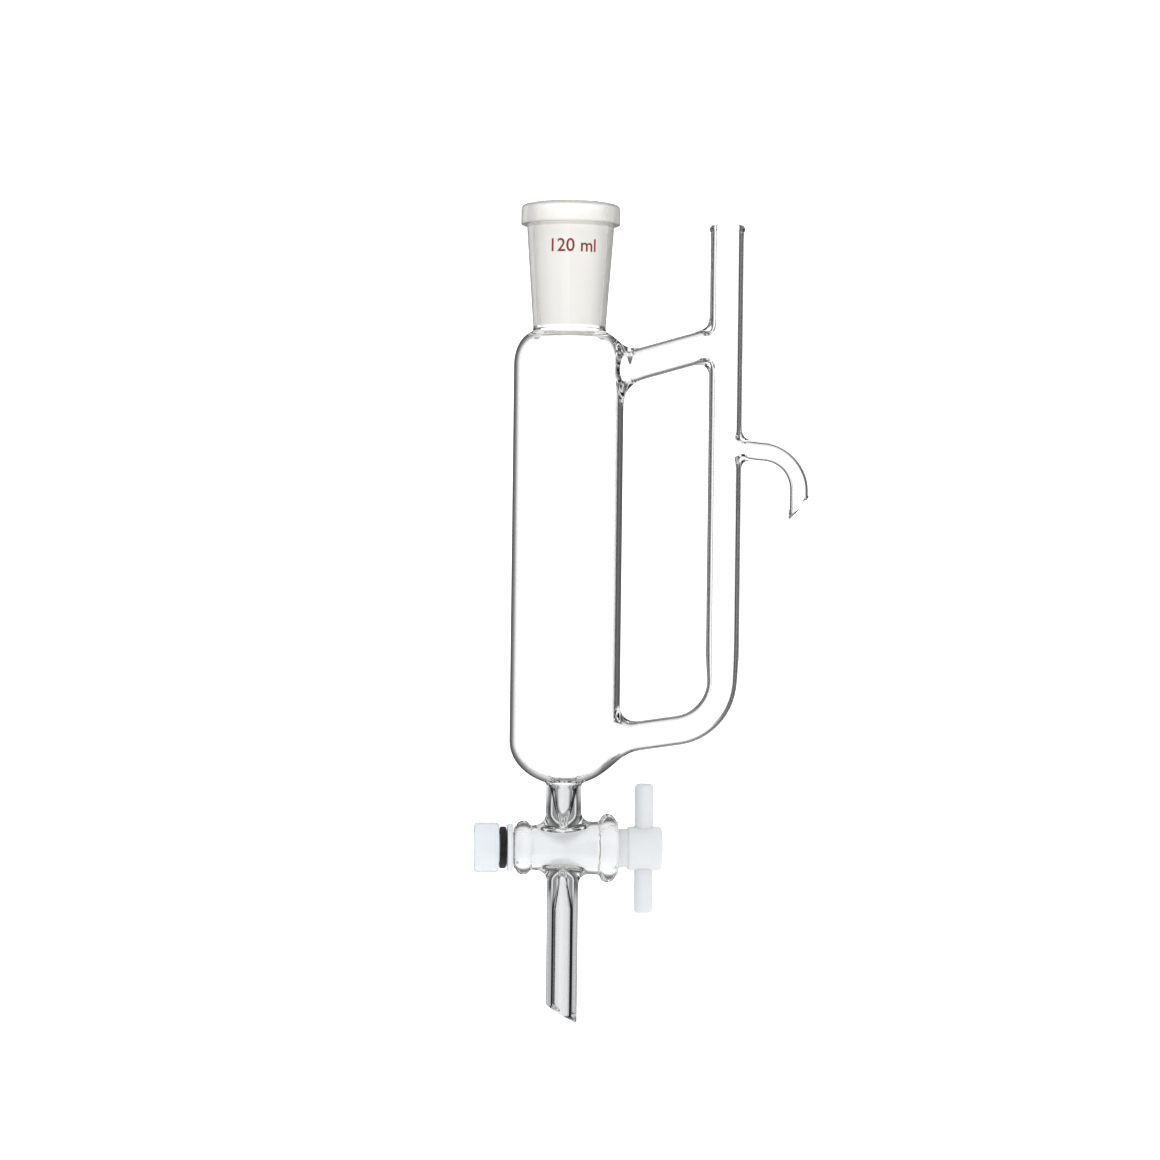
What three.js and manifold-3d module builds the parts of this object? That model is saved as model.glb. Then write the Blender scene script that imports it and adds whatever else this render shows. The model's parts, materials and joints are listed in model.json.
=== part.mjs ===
// Oil and water receiver-separator for a steam distillation set. A glass cylinder hangs under a
// 24/40 ground socket. A side tube joins it at the top and at the bottom, with an overflow hook
// on it, and a stopcock with a PTFE plug shuts the drip stem below.
//
// Millimetres, +Z up. The origin is the centre of the socket's mouth. +X runs from the cylinder
// towards the side tube. Every centre line lies in the plane y = 0.
//
// The glass is one flame-sealed piece, and each tube that it is sealed from is a mesh of its own.
// Neighbouring meshes are drawn GAP apart.

import * as THREE from "three";
import { mergeVertices } from "three/addons/utils/BufferGeometryUtils.js";
import Module from "manifold-3d";

const wasm = await Module();
wasm.setup();

// ---- Driving dimensions ----

const GAP = 0.3;

// Standard taper 24/40: 24 mm across at the mouth, ground over 40 mm, 1 in 10 on the diameter.
const SOCKET = { boreRadius: 12, groundLength: 40, taper: 0.05, wall: 2, bottom: -41.7 };
const SOCKET_BEAD = { radius: 16.35, height: 6.9, round: 1.9 };
const NECK_BORE = SOCKET.boreRadius - SOCKET.taper * SOCKET.groundLength - 0.1;

// The shoulder and the base are quarter ellipses.
const RESERVOIR = { radius: 18.15, wall: 1.8, top: SOCKET.bottom - GAP, drainRadius: 4.2 };
const SHOULDER = { inset: 7.15, straightTop: -53 };
const BASE = { straightBottom: -177, drop: 14.5 };

const RISER = { x: 52, radius: 5.5, bore: 3.7, top: -5.9, bottom: -151, lip: 0.35 };
const VAPOUR_ARM = { radius: 5.2, bore: 3.7, startX: 14, startZ: -55, endZ: -43.8 };
const RETURN_BEND = { radius: 4.85, bore: 3.4, bendRadius: 17, slope: 0.148, endX: 12, endZ: -176.87 };
const HOOK = { radius: 3.4, bore: 2.1, z: -79.7, bendX: 61.3, bendRadius: 16 };
HOOK.innerTip = -103.4;
HOOK.outerTip = -95.4;

const STOPCOCK_Z = -212.2;
const PORT_RADIUS = 1.1;
const DRAIN_NECK = { radius: 5.8, bore: 2.6, flareRadius: 7.1, flareHeight: 3.3 };
const DRAIN_ANGLE = Math.acos(DRAIN_NECK.radius / RESERVOIR.radius);
const DRAIN_Z = BASE.straightBottom - BASE.drop * Math.sin(DRAIN_ANGLE);
const STEM = { radius: 5.15, bore: 2.3, flareRadius: 6.6, flareHeight: 3, boreStart: -225, boreFull: -232 };
STEM.shortTip = -264;
STEM.longTip = -270;

// Radii at x = 0, growing towards the handle. The bore tapers 1 in 10 on the diameter.
const BARREL = { left: -16.4, right: 18, radius: 8, growth: 0.07, bore: 6.45, boreGrowth: 0.05 };
const BEADS = [
  { x: -13.2, radius: 8.9, width: 5.8 },
  { x: 14.9, radius: 11.3, width: 5.9 },
];

const PLUG = { clearance: 0.1, taperLeft: -15.6, taperRight: 18, neckRadius: 6.45 };
const HUB = { left: 21.3, right: 32.5, radius: 7.2, round: 0.9 };
const SEAL_RING = { x: 12.4, section: 0.7, radius: 6.15, slack: 0.2 };
const HANDLE = { x: 26.6, radius: 3.1, halfLength: 21.35, round: 1.5, clearance: 0.15 };

const THREAD = { crest: 5, depth: 0.7, pitch: 2, start: -18, end: -28.8, clearance: 0.25 };
const WASHER = { right: BARREL.left - GAP, thickness: 1.8, radius: 7.8, bore: 5.35, round: 0.3 };
const RUBBER_RING = { right: -18.8, thickness: 2.2, radius: 6.9, bore: 5.35, round: 0.7 };
const NUT = { right: -21.3, left: -29.4, radius: 8.15, chamfer: 1.3 };

// ---- Materials ----

const glass = { color: 0xdfe9ec, roughness: 0.05, transparent: true, opacity: 0.45 };
const MATERIALS = {
  glass: new THREE.MeshStandardMaterial(glass),
  groundGlass: new THREE.MeshStandardMaterial({ color: 0xe4e2dc, roughness: 0.7 }),
  ptfe: new THREE.MeshStandardMaterial({ color: 0xe9edf1, roughness: 0.5 }),
  nutPlastic: new THREE.MeshStandardMaterial({ color: 0xd9e4ec, roughness: 0.4 }),
  rubber: new THREE.MeshStandardMaterial({ color: 0x17181c, roughness: 0.7 }),
  sealRing: new THREE.MeshStandardMaterial({ color: 0xd8cdb8, roughness: 0.6 }),
};

// ---- Solids ----

// A closed geometry as a manifold solid.
function solidOf(geometry) {
  geometry.deleteAttribute("normal");
  geometry.deleteAttribute("uv");
  const merged = mergeVertices(geometry, 1e-4);
  const mesh = new wasm.Mesh({
    numProp: 3,
    vertProperties: merged.attributes.position.array,
    triVerts: new Uint32Array(merged.index.array),
  });
  mesh.merge();
  return new wasm.Manifold(mesh);
}

// A manifold solid as a three.js geometry.
function geometryOf(solid) {
  const mesh = solid.getMesh();
  const geometry = new THREE.BufferGeometry();
  geometry.setAttribute("position", new THREE.BufferAttribute(mesh.vertProperties, 3));
  geometry.setIndex(new THREE.BufferAttribute(mesh.triVerts, 1));
  geometry.computeVertexNormals();
  return geometry;
}

// Points on an ellipse about [radius, height], from one angle to another, in degrees.
function ellipse([radius, height], across, along, from, to, steps) {
  return Array.from({ length: steps + 1 }, (_, i) => {
    const angle = THREE.MathUtils.degToRad(from + ((to - from) * i) / steps);
    return [radius + across * Math.cos(angle), height + along * Math.sin(angle)];
  });
}

// Revolves [radius, height] points. A profile that keeps off the axis is closed on itself.
function lathe(profile, segments) {
  const points = profile.map(([radius, height]) => new THREE.Vector2(Math.max(radius, 0), height));
  if (THREE.ShapeUtils.area(points) < 0) points.reverse();
  if (points[0].x > 1e-6) points.push(points[0].clone());
  return new THREE.LatheGeometry(points, segments);
}

const aboutZ = (profile, segments, x = 0) =>
  solidOf(lathe(profile, segments).rotateX(Math.PI / 2).translate(x, 0, 0));

const aboutStopcockAxis = (profile, segments) =>
  solidOf(lathe(profile, segments).rotateZ(-Math.PI / 2).translate(0, 0, STOPCOCK_Z));

// A round vertical post.
const post = (x, bottom, top, radius, segments) =>
  aboutZ([[0, bottom], [radius, bottom], [radius, top], [0, top]], segments, x);

// A round bar along a curve.
function bar(curve, radius, sides, steps) {
  const section = new THREE.Shape().absarc(0, 0, radius, 0, 2 * Math.PI);
  const options = { steps, curveSegments: sides / 2, extrudePath: curve };
  return solidOf(new THREE.ExtrudeGeometry(section, options));
}

// Everything under a slanting line in the plane y = 0, to cut a bevelled end with.
function below(leftX, leftZ, rightX, rightZ) {
  const reach = 60;
  const slope = Math.atan2(rightZ - leftZ, rightX - leftX);
  const slab = new THREE.BoxGeometry(reach, reach, reach).translate(0, 0, -reach / 2);
  return solidOf(slab.rotateY(-slope).translate((leftX + rightX) / 2, 0, (leftZ + rightZ) / 2));
}

// ---- Centre lines ----

const at = (x, z) => new THREE.Vector3(x, 0, z);

// An arc in the plane y = 0, between two angles about a centre.
class Arc extends THREE.Curve {
  constructor(centre, radius, from, to) {
    super();
    Object.assign(this, { centre, radius, from, to });
  }
  getPoint(t) {
    const angle = this.from + (this.to - this.from) * t;
    const { x, z } = this.centre;
    return at(x + this.radius * Math.cos(angle), z + this.radius * Math.sin(angle));
  }
}

// An arc with a straight run before it and after it.
function bentLine(start, arc, end) {
  const path = new THREE.CurvePath();
  path.add(new THREE.LineCurve3(start, arc.getPoint(0)));
  path.add(arc);
  path.add(new THREE.LineCurve3(arc.getPoint(1), end));
  return path;
}

const armLine = new THREE.LineCurve3(
  at(VAPOUR_ARM.startX, VAPOUR_ARM.startZ),
  at(RISER.x, VAPOUR_ARM.endZ),
);

// Down the riser's axis, round the bend, then down a slight slope into the cylinder.
function returnLine() {
  const { bendRadius, slope, endX, endZ } = RETURN_BEND;
  const centre = at(RISER.x - bendRadius, 0);
  centre.z = endZ + slope * (centre.x - endX) + bendRadius * Math.hypot(1, slope);
  const arc = new Arc(centre, bendRadius, 0, Math.atan(slope) - Math.PI / 2);
  return bentLine(at(RISER.x, RISER.bottom - GAP), arc, at(endX, endZ));
}

// Out of the riser, then over and down to the bevelled spout.
function hookLine() {
  const { z, bendX, bendRadius, innerTip } = HOOK;
  const arc = new Arc(at(bendX, z - bendRadius), bendRadius, Math.PI / 2, 0);
  return bentLine(at(RISER.x, z), arc, at(bendX + bendRadius, innerTip - 3));
}

// ---- Glass ----

// The cylinder's outside, grown by a margin.
function reservoirEnvelope(margin) {
  const { radius, top } = RESERVOIR;
  const { inset, straightTop } = SHOULDER;
  const { straightBottom, drop } = BASE;
  return aboutZ(
    [
      [0, top + margin],
      ...ellipse([radius - inset, straightTop], inset + margin, top - straightTop + margin, 90, 0, 6),
      ...ellipse([0, straightBottom], radius + margin, drop + margin, 0, -90, 8),
    ],
    36,
  );
}

function groundJoint() {
  const { boreRadius, groundLength, taper, wall, bottom } = SOCKET;
  const { radius, height, round } = SOCKET_BEAD;
  const groundEnd = boreRadius - taper * groundLength;
  return aboutZ(
    [
      [boreRadius, 0],
      ...ellipse([radius - round, -round], round, round, 90, 0, 3),
      [radius, 0.4 - height],
      [radius - 0.4, -height],
      [boreRadius + wall + 0.4, -height - 0.4],
      [groundEnd + wall, -groundLength],
      [NECK_BORE + wall, bottom],
      [NECK_BORE, bottom],
      [groundEnd, -groundLength],
    ],
    36,
  );
}

function reservoir() {
  const { radius, wall, top, drainRadius } = RESERVOIR;
  const { inset, straightTop } = SHOULDER;
  const { straightBottom, drop } = BASE;
  const rise = top - straightTop;
  const angleAt = (r, across) => THREE.MathUtils.radToDeg(Math.acos(r / across));
  const shoulder = [radius - inset, straightTop];
  const foot = [0, straightBottom];
  const shell = aboutZ(
    [
      [NECK_BORE, top],
      [NECK_BORE + wall, top],
      ...ellipse(shoulder, inset, rise, 76, 0, 5),
      ...ellipse(foot, radius, drop, 0, -angleAt(DRAIN_NECK.radius, radius), 6),
      [drainRadius, DRAIN_Z],
      ...ellipse(foot, radius - wall, drop - wall, -angleAt(drainRadius, radius - wall), 0, 5),
      ...ellipse(shoulder, inset - wall, rise - wall, 0, 90, 5),
    ],
    36,
  );
  return shell
    .subtract(bar(armLine, VAPOUR_ARM.bore, 16, 1))
    .subtract(bar(returnLine(), RETURN_BEND.bore, 16, 18));
}

function riserTube() {
  const { x, radius, bore, top, bottom, lip } = RISER;
  return aboutZ(
    [
      [bore, top],
      [radius + lip, top],
      [radius + lip, top - 0.8],
      [radius, top - 2],
      [radius, bottom],
      [bore, bottom],
    ],
    24,
    x,
  )
    .subtract(bar(armLine, VAPOUR_ARM.bore, 16, 1))
    .subtract(bar(hookLine(), HOOK.bore, 12, 14));
}

function vapourArm() {
  const { radius, bore } = VAPOUR_ARM;
  return bar(armLine, radius, 20, 1)
    .subtract(bar(armLine, bore, 16, 1))
    .subtract(reservoirEnvelope(GAP))
    .subtract(post(RISER.x, -70, -20, RISER.radius + GAP, 24));
}

function returnBend() {
  const { radius, bore } = RETURN_BEND;
  return bar(returnLine(), radius, 20, 18)
    .subtract(bar(returnLine(), bore, 16, 18))
    .subtract(reservoirEnvelope(GAP));
}

function overflowHook() {
  const { radius, bore, bendX, bendRadius, innerTip, outerTip } = HOOK;
  const legX = bendX + bendRadius;
  return bar(hookLine(), radius, 16, 14)
    .subtract(bar(hookLine(), bore, 12, 14))
    .subtract(post(RISER.x, -95, -65, RISER.radius + GAP, 24))
    .subtract(below(legX - radius, innerTip, legX + radius, outerTip));
}

// The barrel's outside without its beads, grown by a margin.
function barrelEnvelope(margin) {
  const { left, right, radius, growth } = BARREL;
  return aboutStopcockAxis(
    [
      [0, left],
      [radius + growth * left + margin, left],
      [radius + growth * right + margin, right],
      [0, right],
    ],
    32,
  );
}

function drainNeck() {
  const { radius, bore, flareRadius, flareHeight } = DRAIN_NECK;
  const top = DRAIN_Z - GAP;
  const barrelTop = STOPCOCK_Z + BARREL.radius;
  return aboutZ(
    [
      [RESERVOIR.drainRadius, top],
      [radius, top],
      ...ellipse([flareRadius, barrelTop + flareHeight], flareRadius - radius, flareHeight, 180, 270, 3),
      [flareRadius, STOPCOCK_Z],
      [PORT_RADIUS, STOPCOCK_Z],
      [PORT_RADIUS, barrelTop + 1.2],
      [bore, top - 5],
    ],
    28,
  ).subtract(barrelEnvelope(GAP));
}

function stopcockBarrel() {
  const { left, right, radius, growth, bore, boreGrowth } = BARREL;
  const beads = BEADS.flatMap((bead) => {
    const foot = radius + growth * bead.x - 0.2;
    const halfRing = ellipse([0, 0], bead.radius - foot, bead.width / 2, -90, 90, 6);
    return halfRing.map(([rise, offset]) => [foot + rise, bead.x + offset]);
  });
  return aboutStopcockAxis(
    [
      [bore + boreGrowth * left, left],
      [radius + growth * left - 0.3, left],
      ...beads,
      [radius + growth * right - 0.3, right],
      [bore + boreGrowth * right, right],
    ],
    32,
  ).subtract(post(0, STOPCOCK_Z - 20, STOPCOCK_Z + 20, PORT_RADIUS, 12));
}

function dripStem() {
  const { radius, bore, flareRadius, flareHeight, boreStart, boreFull, shortTip, longTip } = STEM;
  const barrelBottom = STOPCOCK_Z - BARREL.radius;
  return aboutZ(
    [
      [PORT_RADIUS, STOPCOCK_Z],
      [flareRadius, STOPCOCK_Z],
      ...ellipse([flareRadius, barrelBottom - flareHeight], flareRadius - radius, flareHeight, 90, 180, 3),
      [radius, longTip - 2],
      [bore, longTip - 2],
      [bore, boreFull],
      [PORT_RADIUS, boreStart],
    ],
    28,
  )
    .subtract(barrelEnvelope(GAP))
    .subtract(below(-radius, shortTip, radius, longTip));
}

// ---- Stopcock ----

// A rod along the stopcock's axis with a right-handed thread on it.
function threadedRod(crest, left, right) {
  const { depth, pitch } = THREAD;
  const rows = Math.round(((right - left) / pitch) * 5);
  const rod = new THREE.CylinderGeometry(1, 1, right - left, 20, rows);
  rod.rotateZ(-Math.PI / 2).translate((left + right) / 2, 0, 0);
  const points = rod.attributes.position;
  for (let i = 0; i < points.count; i++) {
    const [x, y, z] = [points.getX(i), points.getY(i), points.getZ(i)];
    if (Math.hypot(y, z) < 0.5) continue;
    const phase = 2 * Math.PI * (x / pitch) - Math.atan2(z, y);
    const radius = crest - (depth * (1 - Math.cos(phase))) / 2;
    points.setXYZ(i, x, y * radius, z * radius);
  }
  return solidOf(rod.translate(0, 0, STOPCOCK_Z));
}

function stopcockPlug() {
  const { clearance, taperLeft, taperRight, neckRadius } = PLUG;
  const { x, section, radius, slack } = SEAL_RING;
  const taperAt = (along) => BARREL.bore + BARREL.boreGrowth * along - clearance;
  const grooveHalf = section + slack;
  const grooveFloor = radius - section - slack;
  return aboutStopcockAxis(
    [
      [0, THREAD.start - 1],
      [THREAD.crest - THREAD.depth, THREAD.start - 1],
      [THREAD.crest, THREAD.start],
      [THREAD.crest, taperLeft],
      [taperAt(taperLeft), taperLeft],
      [taperAt(x - grooveHalf), x - grooveHalf],
      [grooveFloor, x - grooveHalf],
      [grooveFloor, x + grooveHalf],
      [taperAt(x + grooveHalf), x + grooveHalf],
      [taperAt(taperRight), taperRight],
      [neckRadius, taperRight],
      [neckRadius, HUB.left],
      ...ellipse([HUB.radius - HUB.round, HUB.left + HUB.round], HUB.round, HUB.round, -90, 0, 2),
      ...ellipse([HUB.radius - HUB.round, HUB.right - HUB.round], HUB.round, HUB.round, 0, 90, 2),
      [0, HUB.right],
    ],
    28,
  )
    .add(threadedRod(THREAD.crest, THREAD.end, THREAD.start))
    .subtract(post(0, STOPCOCK_Z - 10, STOPCOCK_Z + 10, PORT_RADIUS, 12))
    .subtract(post(HANDLE.x, STOPCOCK_Z - 10, STOPCOCK_Z + 10, HANDLE.radius + HANDLE.clearance, 20));
}

// The rod is pushed through the plug's hub.
function handleBar() {
  const { x, radius, halfLength, round } = HANDLE;
  const [bottom, top] = [STOPCOCK_Z - halfLength, STOPCOCK_Z + halfLength];
  return aboutZ(
    [
      [0, bottom],
      ...ellipse([radius - round, bottom + round], round, round, -90, 0, 3),
      ...ellipse([radius - round, top - round], round, round, 0, 90, 3),
      [0, top],
    ],
    20,
    x,
  );
}

function sealRing() {
  const { x, section, radius } = SEAL_RING;
  return aboutStopcockAxis(ellipse([radius, x], section, section, 0, 315, 7), 28);
}

// A flat ring with rounded rims, behind the barrel's end.
function clampRing({ right, thickness, radius, bore, round }) {
  const left = right - thickness;
  return aboutStopcockAxis(
    [
      [bore, left],
      ...ellipse([radius - round, left + round], round, round, -90, 0, 2),
      ...ellipse([radius - round, right - round], round, round, 0, 90, 2),
      [bore, right],
    ],
    28,
  );
}

function retainingNut() {
  const { left, right, radius, chamfer } = NUT;
  const body = aboutStopcockAxis(
    [
      [0, left],
      ...ellipse([radius - chamfer, left + chamfer], chamfer, chamfer, -90, 0, 2),
      [radius, right - 0.4],
      [radius - 0.4, right],
      [0, right],
    ],
    28,
  );
  return body.subtract(threadedRod(THREAD.crest + THREAD.clearance, left - 1, right + 1));
}

// ---- Assembly ----

const MESHES = [
  ["ground_joint", groundJoint(), "groundGlass"],
  ["reservoir", reservoir(), "glass"],
  ["vapour_arm", vapourArm(), "glass"],
  ["riser_tube", riserTube(), "glass"],
  ["return_bend", returnBend(), "glass"],
  ["overflow_hook", overflowHook(), "glass"],
  ["drain_neck", drainNeck(), "glass"],
  ["stopcock_barrel", stopcockBarrel(), "glass"],
  ["drip_stem", dripStem(), "glass"],
  ["stopcock_plug", stopcockPlug(), "ptfe"],
  ["handle_bar", handleBar(), "ptfe"],
  ["plug_seal_ring", sealRing(), "sealRing"],
  ["thrust_washer", clampRing(WASHER), "ptfe"],
  ["rubber_ring", clampRing(RUBBER_RING), "rubber"],
  ["retaining_nut", retainingNut(), "nutPlastic"],
];

const group = new THREE.Group();
for (const [name, solid, material] of MESHES) {
  const mesh = new THREE.Mesh(geometryOf(solid), MATERIALS[material]);
  mesh.name = name;
  group.add(mesh);
}

export default group;
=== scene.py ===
"""Looks for the oil and water receiver-separator: one piece of blown glass, and the pieces of its
PTFE stopcock. Sizes are in millimetres unless a comment says otherwise, in the frame of the CAD
part: +Z up, origin at the centre of the socket's mouth."""

import json
import math

import bmesh
import bpy
import numpy as np
from mathutils import Matrix, Vector

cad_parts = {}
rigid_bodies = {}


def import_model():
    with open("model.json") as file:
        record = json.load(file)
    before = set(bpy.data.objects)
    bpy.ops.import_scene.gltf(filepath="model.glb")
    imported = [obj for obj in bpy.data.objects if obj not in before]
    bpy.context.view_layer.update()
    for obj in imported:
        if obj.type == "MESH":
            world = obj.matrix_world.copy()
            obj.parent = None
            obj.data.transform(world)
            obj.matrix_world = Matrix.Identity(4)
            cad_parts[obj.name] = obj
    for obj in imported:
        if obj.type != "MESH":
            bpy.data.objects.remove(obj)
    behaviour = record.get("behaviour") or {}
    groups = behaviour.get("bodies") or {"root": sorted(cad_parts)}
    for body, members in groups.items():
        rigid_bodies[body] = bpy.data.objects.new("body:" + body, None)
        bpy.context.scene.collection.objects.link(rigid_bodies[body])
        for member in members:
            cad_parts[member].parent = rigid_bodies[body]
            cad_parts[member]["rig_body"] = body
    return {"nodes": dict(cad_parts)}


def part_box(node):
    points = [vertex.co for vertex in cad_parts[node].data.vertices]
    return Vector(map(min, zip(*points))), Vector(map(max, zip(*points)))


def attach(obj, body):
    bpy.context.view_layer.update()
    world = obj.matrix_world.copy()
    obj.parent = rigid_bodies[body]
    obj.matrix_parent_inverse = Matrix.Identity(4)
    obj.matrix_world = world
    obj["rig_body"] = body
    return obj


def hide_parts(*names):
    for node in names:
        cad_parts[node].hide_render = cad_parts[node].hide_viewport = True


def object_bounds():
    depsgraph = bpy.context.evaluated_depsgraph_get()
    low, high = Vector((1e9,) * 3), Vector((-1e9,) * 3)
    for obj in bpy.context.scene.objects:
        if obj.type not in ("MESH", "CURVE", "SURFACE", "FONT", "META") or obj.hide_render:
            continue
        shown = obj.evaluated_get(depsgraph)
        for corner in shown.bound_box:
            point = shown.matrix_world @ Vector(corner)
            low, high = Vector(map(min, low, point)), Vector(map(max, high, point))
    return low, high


MM = 0.001

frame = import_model()
cad_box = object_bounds()


def extent(node):
    """Lowest and highest corner of a CAD node, in millimetres."""
    low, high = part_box(node)
    return np.array(low) / MM, np.array(high) / MM


# ---- Sizes ----

JOINT_HIGH = extent("ground_joint")[1]
CYLINDER_HIGH = extent("reservoir")[1]
RISER_LOW, RISER_HIGH = extent("riser_tube")
HOOK_LOW, HOOK_HIGH = extent("overflow_hook")
BARREL_LOW, BARREL_HIGH = extent("stopcock_barrel")
STEM_LOW = extent("drip_stem")[0]
PLUG_LOW, PLUG_HIGH = extent("stopcock_plug")
HANDLE_LOW, HANDLE_HIGH = extent("handle_bar")
SEAL_LOW, SEAL_HIGH = extent("plug_seal_ring")
WASHER_LOW, WASHER_HIGH = extent("thrust_washer")
RING_LOW, RING_HIGH = extent("rubber_ring")
NUT_LOW, NUT_HIGH = extent("retaining_nut")

# Ground socket, standard taper 24/40.
SOCKET_BORE = 12
GROUND_LENGTH = 40
GROUND_START = -1.2
TAPER = 0.05
SOCKET_WALL = 2
BEAD_HEIGHT = 6.9
BEAD_ROUND = 1.9
BEAD_CORNER = 0.4
BEAD_FILLET = 0.6

# The capacity on the socket. A capital's height is given as a share of the font's size.
MARK_TEXT = "120 ml"
MARK_HEIGHT = 4.2
MARK_Z = -16.7
CAPITAL_SHARE = 0.7
STROKE_GROWTH = 0.05
ENAMEL_HALF = 0.09
ENAMEL_LIFT = 0.08

# Cylinder.
CYLINDER_RADIUS = CYLINDER_HIGH[1]
CYLINDER_WALL = 1.8
SHOULDER_INSET = 7.15
SHOULDER_Z = -53
SHOULDER_TOP = -42
BASE_Z = -177
BASE_DROP = 14.5

# Side tube.
RISER_X = (RISER_LOW[0] + RISER_HIGH[0]) / 2
RISER_RADIUS = 5.5
RISER_BORE = 3.7
RISER_NARROWS = (-160, -146)
# The flared lip is a ring of round section, set into the riser's top edge.
LIP_SECTION = 1.15
LIP_INSET = 0.85
LIP_DROP = 1.1
ARM_RADIUS = 5.2
ARM_BORE = 3.7
ARM_START = (14, -55)
ARM_END = (RISER_X - 8, -46.2)
BEND_TUBE = 4.85
BEND_BORE = 3.4
BEND_RADIUS = 17
BEND_SLOPE = 0.148
BEND_END = (12, -176.87)
# A place between the cylinder and the side tube, which tells what is on one from what is on the
# other.
MIDWAY_X = 25
FAR_OUTSIDE = 50

# Overflow hook.
HOOK_TUBE = HOOK_HIGH[1]
HOOK_BORE = 2
HOOK_Z = HOOK_HIGH[2] - HOOK_TUBE
HOOK_DROP = 0.9
HOOK_BEND = 12.8
HOOK_SQUEEZE = 0.06
HOOK_LEG_X = HOOK_HIGH[0] - HOOK_TUBE - 0.4
HOOK_BEVEL = ((HOOK_LEG_X - HOOK_TUBE, HOOK_LOW[2]), (HOOK_LEG_X + HOOK_TUBE, -95.4))

# Stopcock.
AXIS_Z = (PLUG_LOW[2] + PLUG_HIGH[2]) / 2
PORT = 1.1
NECK_RADIUS = 5.8
NECK_BORE = 2.5
NECK_TOP = -191.2
DRAIN_RADIUS = 4.2
# The neck's and the stem's thick glass, with their flares, lies within this radius.
THICK_REACH = 11
STEM_RADIUS = 5.15
STEM_BORE = 2.3
STEM_BEVEL = ((-STEM_RADIUS, -264), (STEM_RADIUS, STEM_LOW[2]))
BELOW_TIP = -275
BARREL_RADIUS = 8
BARREL_GROWTH = 0.07
BARREL_BORE = 6.45
# Place along the barrel, radius and width. They start a little under its surface.
BARREL_BEADS = ((-13.2, 8.9, 4.6), (14.6, BARREL_HIGH[1], 5.2))
BARREL_BEAD_SINK = 0.3
# How far the barrel's bore is cut on either side of the vessel's axis, past both its ends.
BARREL_BORE_REACH = 24
PLUG_CLEARANCE = 0.12
PLUG_BORE = 1
SEAL_X = (SEAL_LOW[0] + SEAL_HIGH[0]) / 2
DRILL_REACH = 14
HANDLE_X = (HANDLE_LOW[0] + HANDLE_HIGH[0]) / 2
HANDLE_CLEARANCE = 0.05
CLAMP_BORE = 5.35
THREAD_CREST = 5
THREAD_DEPTH = 0.7
THREAD_PITCH = 2
THREAD_CLEARANCE = 0.25
THREAD_ROW = THREAD_PITCH / 12
SEGMENTS = 96

# How far the fillets reach where one tube is sealed to another: outside and inside the glass.
ARM_FILLET = (5.5, 6)
HOOK_FILLET = (3.5, 2.2)
SIDE_FILLET = 7
BARREL_FILLET = 4.3
BARREL_BEAD_FILLET = 0.5
PORT_FILLET = 0.3
# The same where the side tube's bore opens into the cylinder: at the top and at the bottom.
SIDE_BORE_FILLET = (3.5, 6.5)
# The roundings of edges.
LIP_FILLET = 0.9
HOOK_TIP_ROUND = 0.7
BARREL_END_ROUND = 0.8
BORE_EDGE_ROUND = 1
MOUTH_ROUND = 0.9
STEM_TIP_ROUND = 0.8

# ---- Light and view ----

# The camera and the lights are in metres and degrees, and the sensor is in millimetres.
CAMERA_AZIMUTH = -3.5
CAMERA_DISTANCE = 1.05
CAMERA_TARGET = (0.0045, 0, -0.1238)
VIEW_WIDTH = 0.3828
SENSOR_WIDTH = 36
LEAN = 0.7
FLOOR_SIZE = 2.6
FLOOR_Z = -1.4
# Name, azimuth, elevation, distance, size, and power in watts.
LIGHTS = (("key", -40, 35, 1.2, 0.8, 1.4), ("fill", 50, 15, 1.4, 0.9, 0.5))

ROOM_STRENGTH = 1.6
SOFT_STRENGTH = 0.6
# Round a third of a turn: place, brightness, and how much bluer than grey.
SCREENS = (
    (0, 1.3, 0), (0.14, 1, 0), (0.2, 0.5, 0.01), (0.25, 0.17, 0.02), (0.3, 0.12, 0.01),
    (0.45, 0.09, 0), (0.6, 0.07, 0), (0.68, 0.09, 0), (0.74, 0.26, 0), (0.79, 0.09, 0),
    (0.98, 0.06, 0),
)
SCREENS_START = 0.46
# The screens end towards the zenith and the floor, where the room is an even grey.
STEEP = (0.25, 0.8)
CEILING = 0.9

# ---- Glass ----

GLASS_IOR = 1.474
# Painted shade of the thick glass: facing, and brightness of the light that comes out there.
NECK_PAINTED_SHADES = (
    (0, 0.54), (0.03, 0.54), (0.048, 0.2), (0.06, 0.24), (0.08, 0.19), (0.088, 0.42), (0.1, 0.54),
    (0.108, 0.22), (0.117, 0.033), (0.13, 0.035), (0.148, 0.12), (0.168, 0.2), (0.2, 0.31),
    (0.24, 0.6),
)
STEM_PAINTED_SHADES = (
    (0, 0.56), (0.055, 0.5), (0.07, 0.1), (0.112, 0.08), (0.122, 0.3), (0.22, 0.36), (0.27, 0.3),
)
FLARE_PAINTED_SHADES = (
    (0, 0.54), (0.026, 0.54), (0.035, 0.37), (0.045, 0.19), (0.08, 0.17), (0.094, 0.2),
    (0.104, 0.5), (0.122, 0.5), (0.131, 0.13), (0.14, 0.035), (0.16, 0.047), (0.2, 0.09),
    (0.24, 0.14),
)
# The flare goes over to the tube between these distances from the stopcock's axis.
FLARE = (13, 19)
# The shares of red, green and blue in the painted shades.
COOL = (1, 1.02, 1.05)
# The painted shadow line on the rim's lower edge: where it starts, is full, is still full, and
# ends, from the rim's foot.
RIM_SHADOW_LINE = (0.8, -0.1, -0.6, -1.4)


# ---- Signed distances, in numpy ----


def smooth_min(a, b, reach):
    """The union of two distances, with a fillet where they come within reach of each other."""
    near = np.maximum(reach - np.abs(a - b), 0) / reach
    return np.minimum(a, b) - near * near * reach / 4


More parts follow.
